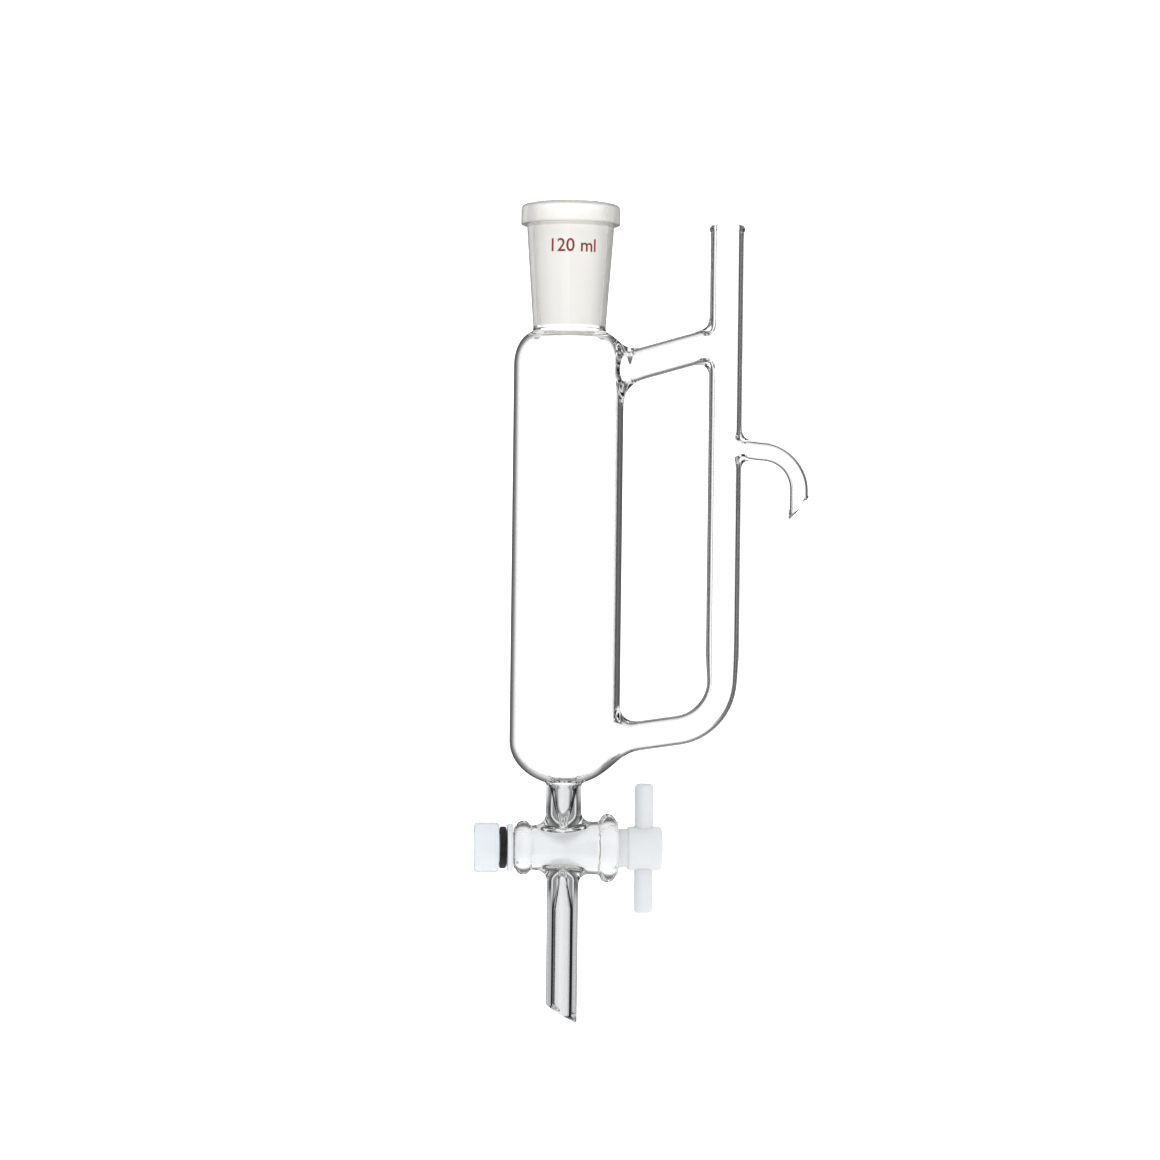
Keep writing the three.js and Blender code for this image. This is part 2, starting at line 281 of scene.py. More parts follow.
def smooth_max(a, b, reach):
    """What two distances have in common, with the edge between them rounded in the same way."""
    return -smooth_min(-a, -b, reach)


def arc_points(centre, across, along, start, end, steps=24):
    """Points (radius, height) on an ellipse between two angles in degrees."""
    angles = np.radians(np.linspace(start, end, steps))
    return [(centre[0] + across * math.cos(a), centre[1] + along * math.sin(a)) for a in angles]


class Profile:
    """A solid of revolution about the vertical axis, from (radius, height) points going down. Its
    corners are blurred over a height, as the flame softens them."""

    STEP = 0.05

    def __init__(self, points, blur):
        heights = np.array([p[1] for p in points])[::-1]
        radii = np.array([p[0] for p in points])[::-1]
        self.z = np.arange(heights[0], heights[-1], self.STEP)
        table = np.interp(self.z, heights, radii)
        half = max(int(blur / self.STEP), 1)
        kernel = np.hanning(2 * half + 3)[1:-1]
        padded = np.pad(table, half, mode="edge")
        self.r = np.convolve(padded, kernel / kernel.sum(), mode="valid")
        self.slope = np.gradient(self.r, self.z)

    def radius(self, z):
        return np.interp(z, self.z, self.r)

    def distance(self, r, z):
        slope = np.interp(z, self.z, self.slope)
        return (r - self.radius(z)) / np.sqrt(1 + slope * slope)


def to_segment(x, z, start, end):
    """Distance in the plane y = 0 to a straight centre line."""
    dx, dz = end[0] - start[0], end[1] - start[1]
    t = np.clip(((x - start[0]) * dx + (z - start[1]) * dz) / (dx * dx + dz * dz), 0, 1)
    return np.hypot(x - start[0] - t * dx, z - start[1] - t * dz)


def to_arc(x, z, centre, radius, start, end):
    """Distance in the plane y = 0 to an arc between two angles, start below end."""
    angle = np.arctan2(z - centre[1], x - centre[0])
    angle = np.clip(angle, start, end)
    px, pz = centre[0] + radius * np.cos(angle), centre[1] + radius * np.sin(angle)
    return np.hypot(x - px, z - pz)


def beyond_line(x, z, start, end):
    """Distance below a slanting line from start, on its left, to end."""
    dx, dz = end[0] - start[0], end[1] - start[1]
    return -((z - start[1]) * dx - (x - start[0]) * dz) / math.hypot(dx, dz)


# ---- The glass vessel ----


def outer_profile():
    """The outside of the socket, the cylinder, the neck and the stem."""
    top = SOCKET_BORE + SOCKET_WALL
    ground_end = SOCKET_BORE - TAPER * GROUND_LENGTH + SOCKET_WALL
    points = [(top + 0.4, 1), (top + 0.35, -8)]
    points += [(ground_end, -GROUND_LENGTH), (ground_end - 0.1, -41.6)]
    shoulder = (CYLINDER_RADIUS - SHOULDER_INSET, SHOULDER_Z)
    points += arc_points(shoulder, SHOULDER_INSET, SHOULDER_TOP - SHOULDER_Z, 78, 0)
    end = math.degrees(math.acos(NECK_RADIUS / CYLINDER_RADIUS))
    points += arc_points((0, BASE_Z), CYLINDER_RADIUS, BASE_DROP, 0, -end)
    points += [(NECK_RADIUS, -192), (NECK_RADIUS, AXIS_Z + 3), (STEM_RADIUS, AXIS_Z - 3)]
    points += [(STEM_RADIUS, BELOW_TIP)]
    return Profile(points, blur=1.1)


def inner_profile():
    """The bore of the same, from the ground joint to the narrow ports and out through the stem."""
    ground_end = SOCKET_BORE - TAPER * GROUND_LENGTH
    points = [(SOCKET_BORE + TAPER, 1), (ground_end, -GROUND_LENGTH), (ground_end - 0.1, -43)]
    shoulder = (CYLINDER_RADIUS - SHOULDER_INSET, SHOULDER_Z)
    inset = SHOULDER_INSET - CYLINDER_WALL
    points += arc_points(shoulder, inset, SHOULDER_TOP - SHOULDER_Z - CYLINDER_WALL, 89, 0)
    bore = CYLINDER_RADIUS - CYLINDER_WALL
    end = math.degrees(math.acos(DRAIN_RADIUS / bore))
    points += arc_points((0, BASE_Z), bore, BASE_DROP - CYLINDER_WALL, 0, -end)
    points += [(NECK_BORE + 0.5, -192.5), (NECK_BORE, -195.5), (NECK_BORE - 0.5, -199)]
    points += [(PORT, AXIS_Z + 9), (PORT, AXIS_Z - 12)]
    points += [(STEM_BORE, AXIS_Z - 20), (STEM_BORE, BELOW_TIP)]
    return Profile(points, blur=0.8)


OUTSIDE = outer_profile()
INSIDE = inner_profile()


def to_return_line(x, z):
    """Distance to the centre line of the side tube: down the riser, round the bend and in."""
    centre_x = RISER_X - BEND_RADIUS
    centre_z = BEND_END[1] + BEND_SLOPE * (centre_x - BEND_END[0])
    centre_z += BEND_RADIUS * math.hypot(1, BEND_SLOPE)
    turn = math.pi / 2 - math.atan(BEND_SLOPE)
    foot = (
        centre_x + BEND_RADIUS * math.cos(turn),
        centre_z - BEND_RADIUS * math.sin(turn),
    )
    riser = to_segment(x, z, (RISER_X, 10), (RISER_X, centre_z))
    bend = to_arc(x, z, (centre_x, centre_z), BEND_RADIUS, -turn, 0)
    return np.minimum(np.minimum(riser, bend), to_segment(x, z, foot, BEND_END))


def to_hook(x, y, z, radius):
    """Distance to the overflow hook, which is a little flat where it was bent."""
    bend_z = HOOK_Z - HOOK_DROP
    centre = (HOOK_LEG_X - HOOK_BEND, bend_z - HOOK_BEND)
    top = to_segment(x, z, (RISER_X + 4, HOOK_Z), (centre[0], bend_z))
    bend = to_arc(x, z, centre, HOOK_BEND, 0, math.pi / 2)
    leg = to_segment(x, z, (HOOK_LEG_X, centre[1]), (HOOK_LEG_X, HOOK_LOW[2] - 5))
    angle = np.clip(np.arctan2(z - centre[1], x - centre[0]), 0, math.pi / 2)
    line = np.minimum(np.minimum(top, bend), leg)
    return np.hypot(line, y) - radius * (1 - HOOK_SQUEEZE * np.sin(2 * angle) ** 2)


def side_tube_radius(z, at_riser, at_bend):
    """The riser narrows a little into the return bend."""
    low, high = RISER_NARROWS
    t = np.clip((z - low) / (high - low), 0, 1)
    return at_bend + (at_riser - at_bend) * t * t * (3 - 2 * t)


def rim_bead(r, z):
    """The thick rim of the socket: round above, with a tighter edge below."""
    half = BEAD_HEIGHT / 2
    height = z + half
    corner = np.where(height > 0, BEAD_ROUND, BEAD_CORNER)
    qr = r - JOINT_HIGH[1] + corner
    qz = np.abs(height) - half + corner
    outer = np.hypot(np.maximum(qr, 0), np.maximum(qz, 0))
    return np.minimum(np.maximum(qr, qz), 0) + outer - corner


def glass_outside(x, y, z):
    """Signed distance to the vessel's outer surface, as if it were solid."""
    r = np.hypot(x, y)
    body = smooth_min(rim_bead(r, z), OUTSIDE.distance(r, z), BEAD_FILLET)
    arm = np.hypot(to_segment(x, z, ARM_START, ARM_END), y) - ARM_RADIUS
    tube_radius = side_tube_radius(z, RISER_RADIUS, BEND_TUBE)
    tube = np.hypot(to_return_line(x, z), y) - tube_radius
    from_lip = np.hypot(x - RISER_X, y) - RISER_RADIUS + LIP_INSET
    lip = np.hypot(from_lip, z - RISER_HIGH[2] + LIP_DROP) - LIP_SECTION
    tube = smooth_min(tube, lip, LIP_FILLET)
    hook = to_hook(x, y, z, HOOK_TUBE)
    hook = smooth_max(hook, beyond_line(x, z, *HOOK_BEVEL), HOOK_TIP_ROUND)
    side = smooth_min(smooth_min(tube, arm, ARM_FILLET[0]), hook, HOOK_FILLET[0])
    around = np.hypot(y, z - AXIS_Z)
    barrel = (around - BARREL_RADIUS - BARREL_GROWTH * x) / math.hypot(1, BARREL_GROWTH)
    ends = np.maximum(BARREL_LOW[0] - x, x - BARREL_HIGH[0])
    barrel = smooth_max(barrel, ends, BARREL_END_ROUND)
    for centre, radius, width in BARREL_BEADS:
        foot = BARREL_RADIUS + BARREL_GROWTH * centre - BARREL_BEAD_SINK
        rise = radius - foot
        bead = np.hypot((x - centre) / (width / 2), (around - foot) / rise) - 1
        barrel = smooth_min(barrel, bead * rise, BARREL_BEAD_FILLET)
    body = smooth_min(body, side, SIDE_FILLET)
    return smooth_min(body, barrel, BARREL_FILLET)


def glass_inside(x, y, z):
    """Signed distance to the space inside, which runs on past every mouth."""
    r = np.hypot(x, y)
    body = INSIDE.distance(r, z)
    arm = np.hypot(to_segment(x, z, ARM_START, ARM_END), y) - ARM_BORE
    tube_radius = side_tube_radius(z, RISER_BORE, BEND_BORE)
    tube = np.hypot(to_return_line(x, z), y) - tube_radius
    hook = to_hook(x, y, z, HOOK_BORE)
    side = smooth_min(smooth_min(tube, arm, ARM_FILLET[1]), hook, HOOK_FILLET[1])
    around = np.hypot(y, z - AXIS_Z)
    bore = (around - BARREL_BORE - TAPER * x) / math.hypot(1, TAPER)
    bore = np.maximum(bore, np.abs(x) - BARREL_BORE_REACH)
    halfway = (ARM_START[1] + BEND_END[1]) / 2
    reach = np.where(z > halfway, *SIDE_BORE_FILLET)
    return smooth_min(smooth_min(body, side, reach), bore, PORT_FILLET)


def glass(x, y, z):
    """Signed distance to the glass: negative inside the wall."""
    wall = smooth_max(glass_outside(x, y, z), -glass_inside(x, y, z), BORE_EDGE_ROUND)
    mouth = z - np.where(np.hypot(x, y) < MIDWAY_X, JOINT_HIGH[2], RISER_HIGH[2])
    wall = smooth_max(wall, mouth, MOUTH_ROUND)
    tip = np.where(x < MIDWAY_X, beyond_line(x, z, *STEM_BEVEL), -FAR_OUTSIDE)
    return smooth_max(wall, tip, STEM_TIP_ROUND)


def ticks(*stretches):
    """Grid coordinates from (start, end, step) stretches. Each starts where the last one ends."""
    values = [stretches[0][0]]
    for start, end, step in stretches:
        count = max(round(abs(end - start) / step), 1)
        values += list(np.linspace(start, end, count + 1)[1:])
    return np.array(values)


def surface_net(field, axes):
    """Vertices and quads on the zero level of a sampled field, a vertex in each crossed cell."""
    cells = np.array(field.shape) - 1
    strides = np.array([cells[1] * cells[2], cells[2], 1])
    members, points, quads = [], [], []
    for a in range(3):
        b, c = (a + 1) % 3, (a + 2) % 3
        low = [slice(1, -1)] * 3
        high = [slice(1, -1)] * 3
        low[a], high[a] = slice(0, -1), slice(1, None)
        before, after = field[tuple(low)], field[tuple(high)]
        index = np.argwhere((before < 0) != (after < 0))
        f0, f1 = before[tuple(index.T)], after[tuple(index.T)]
        index[:, [b, c]] += 1
        position = np.stack([axes[k][index[:, k]] for k in range(3)], 1)
        step = axes[a][index[:, a] + 1] - axes[a][index[:, a]]
        position[:, a] += step * f0 / (f0 - f1)
        base = index @ strides
        around = [base - strides[b] - strides[c], base - strides[c], base, base - strides[b]]
        quad = np.stack(around, 1)
        quad[f0 >= 0] = quad[f0 >= 0][:, ::-1]
        quads.append(quad)
        members += around
        points += [position] * 4
    quads, members, points = (np.concatenate(part) for part in (quads, members, points))
    used, where = np.unique(members, return_inverse=True)
    count = np.bincount(where)
    vertices = np.stack([np.bincount(where, points[:, k]) / count for k in range(3)], 1)
    return vertices, np.searchsorted(used, quads)


def gradient(points, step=0.02):
    """The slope of the distance, which points out of the glass."""
    x, y, z = points.T
    slope = [
        glass(x + step, y, z) - glass(x - step, y, z),
        glass(x, y + step, z) - glass(x, y - step, z),
        glass(x, y, z + step) - glass(x, y, z - step),
    ]
    return np.stack(slope, 1) / (2 * step)


def glass_vessel():
    """The whole blown glass, as one closed mesh. Cells are long where the tubes run straight, and
    a few Newton steps bring every vertex onto the surface."""
    wide, fine = 1.15, 0.6
    xs = ticks((-19.4, -8, wide), (-8, 8, fine), (8, 19, wide), (19, 46, 1.1), (46, 81.2, fine))
    ys = ticks((-19.4, -7, wide), (-7, 7, fine), (7, 19.4, wide))
    zs = ticks(
        (-271, -260, 0.5), (-260, -235, 5), (-235, -190, 0.55), (-190, -178, 0.7),
        (-178, -156, 0.8), (-156, -108, 8), (-108, -96, 0.55), (-96, -86, 0.9), (-86, -76, 0.55),
        (-76, -64, 3), (-64, -39, 0.75), (-39, -9, 5), (-9, 0.8, 0.45),
    )
    x, y, z = np.meshgrid(xs, ys, zs, indexing="ij")
    vertices, quads = surface_net(glass(x, y, z), (xs, ys, zs))
    least_slope, longest_step = 0.1, 0.4
    for _ in range(4):
        slope = gradient(vertices)
        value = glass(*vertices.T)
        step = slope * (value / np.maximum((slope**2).sum(1), least_slope))[:, None]
        vertices -= np.clip(step, -longest_step, longest_step)
    normals = gradient(vertices)
    normals /= np.linalg.norm(normals, axis=1)[:, None]
    return vertices, quads, normals


# ---- Pieces ----

# The glass vessel's materials, by their place in its list.
CLEAR, GROUND, NECK, STEM, BEAD = range(5)
# How near to the bore, the barrel's side, the barrel's end and a bevelled tip a face has to be to
# count as part of it. The barrel's end lies within a height above and below its axis.
BORE_SKIN = 0.5
BARREL_SKIN = 0.35
BARREL_END_DEPTH = 0.9
TIP_DEPTH = 0.3
BARREL_END_HEIGHT = 10


def add_mesh(name, vertices, faces, materials, normals=None):
    """A smooth object from vertices in millimetres."""
    mesh = bpy.data.meshes.new(name)
    mesh.from_pydata(np.asarray(vertices) * MM, [], [tuple(face) for face in faces])
    mesh.polygons.foreach_set("use_smooth", [True] * len(mesh.polygons))
    for material in materials:
        mesh.materials.append(material)
    if normals is not None:
        mesh.normals_split_custom_set_from_vertices(normals)
    piece = bpy.data.objects.new(name, mesh)
    bpy.context.scene.collection.objects.link(piece)
    return piece


def evaluated_mesh(source):
    """The mesh that an object's modifiers, or its text, come to."""
    depsgraph = bpy.context.evaluated_depsgraph_get()
    return bpy.data.meshes.new_from_object(source.evaluated_get(depsgraph))


def place(piece, body, slot, *nodes):
    """Makes a piece ride on a body, in the place of CAD nodes. Its slot, the finish's name, is not
    used.
    """
    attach(piece, body)
    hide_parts(*nodes)
    return piece


def soften(profile, steps=5):
    """(along, radius) points from (along, radius, rounding) points, with the corners rounded."""
    rows = []
    for i, (along, radius, rounding) in enumerate(profile):
        corner = np.array((along, radius))
        if rounding == 0 or i in (0, len(profile) - 1):
            rows.append(tuple(corner))
            continue
        before = np.array(profile[i - 1][:2]) - corner
        after = np.array(profile[i + 1][:2]) - corner
        reach = [min(rounding, np.linalg.norm(edge) * 0.49) for edge in (before, after)]
        start = corner + before / np.linalg.norm(before) * reach[0]
        end = corner + after / np.linalg.norm(after) * reach[1]
        for t in np.linspace(0, 1, steps):
            rows.append(tuple((1 - t) ** 2 * start + 2 * t * (1 - t) * corner + t * t * end))
    return rows


def thread_wave(along, angle):
    """Depth of the right-handed thread, from 0 on its crest to THREAD_DEPTH at its root."""
    phase = 2 * np.pi * along / THREAD_PITCH - angle
    return THREAD_DEPTH * (0.5 - 0.5 * np.cos(phase))


def spun(rows, segments=SEGMENTS, ring=False, threaded=lambda along: 0.0):
    """Vertices and faces of rows revolved about the stopcock's axis. A ring has no end caps.
    threaded gives how much of the thread's depth a row has."""
    angles = np.linspace(0, 2 * np.pi, segments, endpoint=False)
    vertices = []
    for along, radius in rows:
        x = np.full(segments, along)
        r = radius - threaded(along) * thread_wave(along, angles)
        vertices.append(np.stack([x, r * np.cos(angles), r * np.sin(angles)], 1))
    vertices = np.concatenate(vertices)
    count = len(rows)
    faces = []
    for i in range(count if ring else count - 1):
        a, b = i * segments, (i + 1) % count * segments
        for j in range(segments):
            k = (j + 1) % segments
            faces.append((a + j, a + k, b + k, b + j))
    if not ring:
        faces.append(tuple(range(segments))[::-1])
        faces.append(tuple(range((count - 1) * segments, count * segments)))
    vertices[:, 2] += AXIS_Z
    return vertices, faces


def upright(vertices, centre_x):
    """Turns what was spun about the stopcock's axis to stand on end at centre_x."""
    along, y, height = vertices.T
    return np.stack([centre_x + height - AXIS_Z, y, AXIS_Z + along], 1)


def keep_edges(piece, degrees=35):
    """Outward faces, and crisp edges where the surface turns sharply."""
    mesh = piece.data
    edit = bmesh.new()
    edit.from_mesh(mesh)
    bmesh.ops.recalc_face_normals(edit, faces=edit.faces)
    edit.to_mesh(mesh)
    edit.free()
    mesh.set_sharp_from_angle(angle=math.radians(degrees))


def drill(piece, centre_x, radius):
    """A round vertical hole through a piece."""
    vertices, faces = spun([(-DRILL_REACH, radius), (DRILL_REACH, radius)], SEGMENTS // 2)
    cutter = add_mesh("cutter", upright(vertices, centre_x), faces, [])
    keep_edges(cutter)
    hole = piece.modifiers.new("hole", "BOOLEAN")
    hole.operation = "DIFFERENCE"
    hole.solver = "EXACT"
    hole.object = cutter
    cut = evaluated_mesh(piece)
    piece.modifiers.clear()
    piece.data = cut
    bpy.data.objects.remove(cutter)


def make_vessel(clear, ground, neck, stem, bead):
    """The ground zone, the two thick-walled tubes and the rim have glass of their own."""
    vertices, quads, normals = glass_vessel()
    piece = add_mesh("glass_vessel", vertices, quads, [clear, ground, neck, stem, bead], normals)
    x, y, z = vertices[quads].mean(1).T
    r = np.hypot(x, y)
    off_axis = np.hypot(y, z - AXIS_Z)
    on_bore = r < INSIDE.radius(z) + BORE_SKIN
    off_barrel = off_axis > BARREL_RADIUS + BARREL_GROWTH * x + BARREL_SKIN
    thick = ~on_bore & (r < THICK_REACH) & (z < NECK_TOP) & off_barrel
    level_with_barrel = np.abs(z - AXIS_Z) < BARREL_END_HEIGHT
    past_barrel = (x > BARREL_HIGH[0] - BARREL_END_DEPTH) & (x < MIDWAY_X)
    rim_end = JOINT_HIGH[2] - BEAD_HEIGHT + RIM_SHADOW_LINE[-1]
    on_stem_tip = (x < MIDWAY_X) & (beyond_line(x, z, *STEM_BEVEL) > -TIP_DEPTH)
    on_hook_tip = (x > HOOK_BEVEL[0][0] - 1) & (beyond_line(x, z, *HOOK_BEVEL) > -TIP_DEPTH)
    zones = np.full(len(quads), CLEAR, np.int32)
    zones[on_bore & (z > -GROUND_LENGTH) & (z < GROUND_START)] = GROUND
    zones[level_with_barrel & past_barrel] = GROUND
    zones[thick & (z > AXIS_Z)] = NECK
    zones[thick & (z < AXIS_Z)] = STEM
    zones[(r < MIDWAY_X) & (z > rim_end) & (zones == CLEAR)] = BEAD
    zones[on_stem_tip | on_hook_tip] = BEAD
    piece.data.polygons.foreach_set("material_index", zones)
    nodes = [n for n, o in frame["nodes"].items() if o["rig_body"] == "glassware"]
    return place(piece, "glassware", "borosilicate_glass", *nodes)


def make_mark(material):
    """The capacity in millilitres, as thin enamel that follows the outside of the socket."""
    font = bpy.data.curves.new("mark", "FONT")
    font.body = MARK_TEXT
    font.size = MARK_HEIGHT / CAPITAL_SHARE * MM
    font.align_x = "CENTER"
    font.extrude = ENAMEL_HALF * MM
    font.offset = STROKE_GROWTH * MM
    font.resolution_u = 4
    text = bpy.data.objects.new("mark", font)
    bpy.context.scene.collection.objects.link(text)
    bpy.context.view_layer.update()
    mesh = evaluated_mesh(text)
    bpy.data.objects.remove(text)
    for vertex in mesh.vertices:
        across, up, out = np.array(vertex.co) / MM
        z = MARK_Z + up
        r = float(OUTSIDE.radius(z)) + ENAMEL_LIFT + out
        angle = across / r - math.pi / 2
        vertex.co = Vector((r * math.cos(angle), r * math.sin(angle), z)) * MM
    mesh.materials.clear()
    mesh.materials.append(material)
    piece = bpy.data.objects.new("mark", mesh)
    bpy.context.scene.collection.objects.link(piece)
    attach(piece, "glassware")
    return piece


def make_plug(material, lit_in_barrel):
    """Tail with its thread, taper with the seal's groove and the cross bore, neck and hub."""
    taper_left, taper_right = -15.6, BARREL_HIGH[0]
    neck, hub, hub_left = 6.45, PLUG_HIGH[1], 21.3
    groove = 0.9
    groove_floor = 5.25
    tail_end, thread_start = PLUG_LOW[0], -18

    def taper(x):
        return BARREL_BORE + TAPER * x - PLUG_CLEARANCE

    tail = np.arange(tail_end + 0.01, thread_start, THREAD_ROW)
    rows = [(tail_end, THREAD_CREST - 1)]
    rows += [(x, THREAD_CREST - max(0.6 - (x - tail_end), 0)) for x in tail]
    body = [
        (thread_start, THREAD_CREST, 0),
        (taper_left, THREAD_CREST, 0.1),
        (taper_left, taper(taper_left), 0.25),
        (SEAL_X - groove, taper(SEAL_X - groove), 0.15),
        (SEAL_X - groove, groove_floor, 0.15),
        (SEAL_X + groove, groove_floor, 0.15),
        (SEAL_X + groove, taper(SEAL_X + groove), 0.15),
        (taper_right, taper(taper_right), 0.3),
        (taper_right, neck, 0.2),
        (hub_left, neck, 0.3),
        (hub_left, hub, 0.9),
        (PLUG_HIGH[0], hub, 1),
        (PLUG_HIGH[0], 2, 0.5),
    ]
    rows += soften(body) + [(PLUG_HIGH[0], 1)]

    def threaded(x):
        return float(np.clip(thread_start - x, 0, 1))

    piece = add_mesh("plug", *spun(rows, threaded=threaded), [material, lit_in_barrel])
    keep_edges(piece)
    drill(piece, 0, PLUG_BORE)
    drill(piece, HANDLE_X, HANDLE_HIGH[1] + HANDLE_CLEARANCE)
    keep_edges(piece)
    # The part inside the barrel takes the copy with painted light.
    for face in piece.data.polygons:
        along = face.center.x / MM
        face.material_index = int(taper_left < along < taper_right)
    return place(piece, "plug", "ptfe", "stopcock_plug")


def make_handle(material):
    """A rod with round ends."""
    half = (HANDLE_HIGH[2] - HANDLE_LOW[2]) / 2
    radius = HANDLE_HIGH[1]
    profile = [
        (-half, 0.6, 0), (-half, radius, 1.7), (-4, radius, 0.1), (0, radius, 0.1),
        (4, radius, 0.1), (half, radius, 1.7), (half, 0.6, 0),
    ]
    vertices, faces = spun(soften(profile, 7), 64)
    piece = add_mesh("handle", upright(vertices, HANDLE_X), faces, [material])
    keep_edges(piece)
    return place(piece, "plug", "ptfe", "handle_bar")


def make_seal(material):
    """A ring of round section, whose last row is joined to its first."""
    section = (SEAL_HIGH[0] - SEAL_LOW[0]) / 2
    middle = SEAL_HIGH[1] - section
    rows = [(SEAL_X + x, middle + r) for r, x in arc_points((0, 0), section, section, 0, 345)]
    piece = add_mesh("seal_ring", *spun(rows, ring=True), [material])
    keep_edges(piece, 60)
    return place(piece, "plug", "seal_ring", "plug_seal_ring")


def make_clamp_ring(name, low, high, rounding, material, slot, node):
    """A ring on the tail. Its section starts and ends half way up one side."""
    middle = (CLAMP_BORE + high[1]) / 2
    profile = [
        (low[0], middle, 0),
        (low[0], high[1], rounding),
        (high[0], high[1], rounding),
        (high[0], CLAMP_BORE, 0.2),
        (low[0], CLAMP_BORE, 0.2),
        (low[0], middle - 0.01, 0),
    ]
    piece = add_mesh(name, *spun(soften(profile), ring=True), [material])
    keep_edges(piece)
    return place(piece, "clamp_rings", slot, node)


def make_nut(material):
    """A skin outside and a threaded skin inside, joined by a flat ring at either end."""
    left, right, radius = NUT_LOW[0], NUT_HIGH[0], NUT_HIGH[1]
    bore = THREAD_CREST + THREAD_CLEARANCE
    outside = soften([
        (left, bore + 0.7, 0), (left, radius, 1.6), (left + 2.4, radius, 0.3),
        (right - 0.6, radius, 0.3), (right, radius - 0.4, 0.3), (right, bore + 0.7, 0),
    ])
    inside = [(right, bore + 0.35), (right - 0.3, bore)]
    inside += [(x, bore) for x in np.arange(right - 0.5, left + 0.4, -THREAD_ROW)]
    inside += [(left + 0.3, bore), (left, bore + 0.35)]

    def threaded(x):
        return float(np.clip(min(right - 0.3 - x, x - left - 0.3) / 0.8, 0, 1))

    outer_vertices, outer_faces = spun(outside)
    inner_vertices, inner_faces = spun(inside, threaded=threaded)
    first = len(outer_vertices)
    vertices = np.concatenate([outer_vertices, inner_vertices])
    faces = outer_faces[:-2] + [tuple(first + i for i in face) for face in inner_faces[:-2]]
    end_outer, end_inner = first - SEGMENTS, len(vertices) - SEGMENTS
    for j in range(SEGMENTS):
        k = (j + 1) % SEGMENTS
        faces.append((end_outer + j, end_outer + k, first + k, first + j))
        faces.append((j, k, end_inner + k, end_inner + j))
    piece = add_mesh("nut", vertices, faces, [material])
    keep_edges(piece)
    return place(piece, "nut", "nut_plastic", "retaining_nut")


# ---- Materials ----


def new_material(name, color, **settings):
    """A Principled material and its shader. Where nodes give the colour, this one only stands in
    for it."""
    material = bpy.data.materials.new(name)
    material.use_nodes = True
    shader = material.node_tree.nodes["Principled BSDF"]
    shader.inputs["Base Color"].default_value = (*color, 1)
    for key, value in settings.items():
        shader.inputs[key.replace("_", " ")].default_value = value
    return material, shader


def add_glow(shader, color, strength):
    """Light of the surface's own, which stands for light scattered on its way through."""
    shader.inputs["Emission Color"].default_value = (*color, 1)
    shader.inputs["Emission Strength"].default_value = strength


def add_bump(material, shader, texture, strength, distance):
    """A relief from a texture."""
    tree = material.node_tree
    bump = tree.nodes.new("ShaderNodeBump")
    bump.inputs["Strength"].default_value = strength
    bump.inputs["Distance"].default_value = distance * MM
    tree.links.new(texture, bump.inputs["Height"])
    tree.links.new(bump.outputs["Normal"], shader.inputs["Normal"])


def upward_part(tree, coordinates):
    """The Z of the object's own coordinates, or of its normal."""
    split = tree.nodes.new("ShaderNodeSeparateXYZ")
    texture = tree.nodes.new("ShaderNodeTexCoord")
    tree.links.new(texture.outputs[coordinates], split.inputs["Vector"])
    return split.outputs["Z"]


def facing(tree):
    """0 where a surface is met square on, and 1 at a grazing angle."""
    weight = tree.nodes.new("ShaderNodeLayerWeight")
    weight.inputs["Blend"].default_value = 0.5
    return weight.outputs["Facing"]


def noise(tree, scale, detail=2.0, stretch=(1, 1, 1)):
    """Noise in the object's own coordinates, with a scale in cycles per metre."""
    mapping = tree.nodes.new("ShaderNodeMapping")
    mapping.inputs["Scale"].default_value = stretch
    coordinates = tree.nodes.new("ShaderNodeTexCoord").outputs["Object"]
    tree.links.new(coordinates, mapping.inputs["Vector"])
    texture = tree.nodes.new("ShaderNodeTexNoise")
    texture.inputs["Scale"].default_value = scale
    texture.inputs["Detail"].default_value = detail
    tree.links.new(mapping.outputs["Vector"], texture.inputs["Vector"])
    return texture.outputs["Fac"]


def vary(tree, factor, low, high, socket):
    """Drives a colour socket between two colours, over the range that noise mostly keeps to."""
    ramp = tree.nodes.new("ShaderNodeValToRGB")
    ramp.color_ramp.elements[0].position = 0.35
    ramp.color_ramp.elements[1].position = 0.65
    ramp.color_ramp.elements[0].color = (*low, 1)
    ramp.color_ramp.elements[1].color = (*high, 1)
    tree.links.new(factor, ramp.inputs["Fac"])
    tree.links.new(ramp.outputs["Color"], socket)


def compute(tree, operation, first, second=0.0):
    """A maths node. Second is a socket or a number."""
    node = tree.nodes.new("ShaderNodeMath")
    node.operation = operation
    tree.links.new(first, node.inputs[0])
    if isinstance(second, bpy.types.NodeSocket):
        tree.links.new(second, node.inputs[1])
    else:
        node.inputs[1].default_value = second
    return node.outputs["Value"]


def fade(tree, value, start, end):
    """A value that goes smoothly from 0 at the start to 1 at the end, which may be below it."""
    node = tree.nodes.new("ShaderNodeMapRange")
    node.interpolation_type = "SMOOTHSTEP"
    node.inputs["From Min"].default_value = start
    node.inputs["From Max"].default_value = end
    tree.links.new(value, node.inputs["Value"])
    return node.outputs["Result"]


def color_mix(tree, factor, low, high):
    """Low and high are sockets, or plain colours."""
    mix = tree.nodes.new("ShaderNodeMix")
    mix.data_type = "RGBA"
    tree.links.new(factor, mix.inputs["Factor"])
    for name, color in (("A", low), ("B", high)):
        if isinstance(color, tuple):
            mix.inputs[name].default_value = color
        else:
            tree.links.new(color, mix.inputs[name])
    return mix.outputs["Result"]


